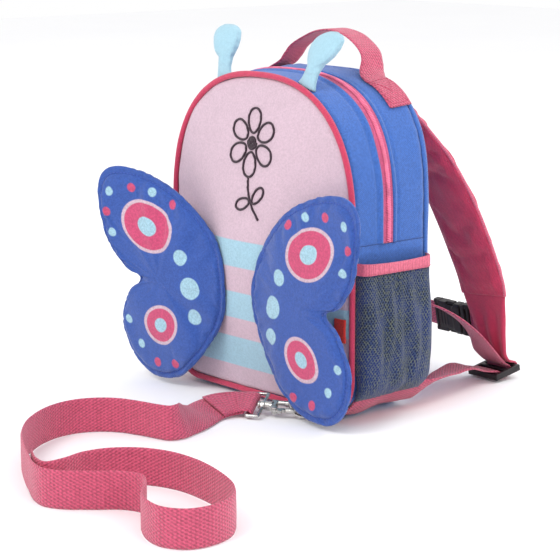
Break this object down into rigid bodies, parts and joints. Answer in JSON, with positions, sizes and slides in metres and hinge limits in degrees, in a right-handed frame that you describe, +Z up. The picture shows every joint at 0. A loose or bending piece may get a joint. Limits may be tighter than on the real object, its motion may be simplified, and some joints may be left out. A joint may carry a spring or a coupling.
{
  "type": "toddler harness backpack",
  "caption": "Small domed child's day bag with padded butterfly wings, antennae, mesh side pockets, padded shoulder straps and a webbing rein on a swivel snap hook",
  "frame": {"origin": "middle of the base, on the surface that the bag stands on", "axes": "+Z up, -Y the front with the wings, +Y the back with the shoulder straps, +X the right side in front view, where the hook and the label tab are"},
  "size_m": [0.3693, 0.4738, 0.2773],
  "materials": {
    "pale_pink_cloth": "brushed polyester, pale pink with printed stripes",
    "pink_cloth": "polyester twill, deep pink",
    "blue_cloth": "polyester, royal blue",
    "wing_blue_cloth": "padded polyester, royal blue with printed spots",
    "light_blue_cloth": "soft polyester, light blue",
    "mesh": "fine knitted net, slate",
    "coral_binding": "elastic binding, coral pink",
    "red_tab": "woven tape, red, blank",
    "pink_webbing": "polypropylene webbing, nubby weave, deep pink",
    "black_webbing": "webbing, black",
    "zip_coil": "nylon coil, deep pink",
    "zip_slider": "coated slider, deep pink",
    "black_plastic": "moulded acetal, near black",
    "nickel": "nickel plate"
  },
  "bodies": {
    "bag": {"front_panel": "pale_pink_cloth", "front_piping": "pink_cloth", "front_gusset": "blue_cloth", "zip_tape": "pink_cloth", "zip_coil": "zip_coil", "zip_slider": "zip_slider", "back_gusset": "blue_cloth", "base_gusset": "blue_cloth", "back_panel": "blue_cloth", "grab_handle": "pink_webbing", "antenna_right": "light_blue_cloth", "antenna_left": "light_blue_cloth", "wing_right": "wing_blue_cloth", "wing_left": "wing_blue_cloth", "side_pocket_right": "mesh", "side_pocket_left": "mesh", "pocket_binding_right": "coral_binding", "pocket_binding_left": "coral_binding", "label_tab": "red_tab", "shoulder_strap_right": "pink_cloth", "shoulder_strap_left": "pink_cloth", "strap_end_right": "pink_webbing", "strap_end_left": "pink_webbing", "ladder_lock_right": "black_plastic", "ladder_lock_left": "black_plastic", "lower_webbing_right": "pink_webbing", "lower_webbing_left": "pink_webbing", "chest_strap_right": "pink_webbing", "chest_strap_left": "pink_webbing", "chest_buckle_socket": "black_plastic", "chest_buckle_plug": "black_plastic", "ring_tab": "black_webbing", "d_ring": "nickel", "hook_eye": "nickel", "leash_fold": "pink_webbing", "leash": "pink_webbing"},
    "hook": {"snap_hook": "nickel"},
    "gate": {"snap_gate": "nickel"}
  },
  "joints": [
    {"name": "hook_swivel", "type": "hinge", "parent": "bag", "child": "hook", "pos_m": [0.0285, -0.068, 0.0076], "axis": [0.848, 0.5299, 0], "range_deg": [-12, 5]},
    {"name": "gate_hinge", "type": "hinge", "parent": "hook", "child": "gate", "pos_m": [0.04656, -0.06181, 0.00603], "axis": [0.1812, -0.29, 0.9397], "range_deg": [0, 30], "stiffness_Nm_per_rad": 0.0005}
  ]
}
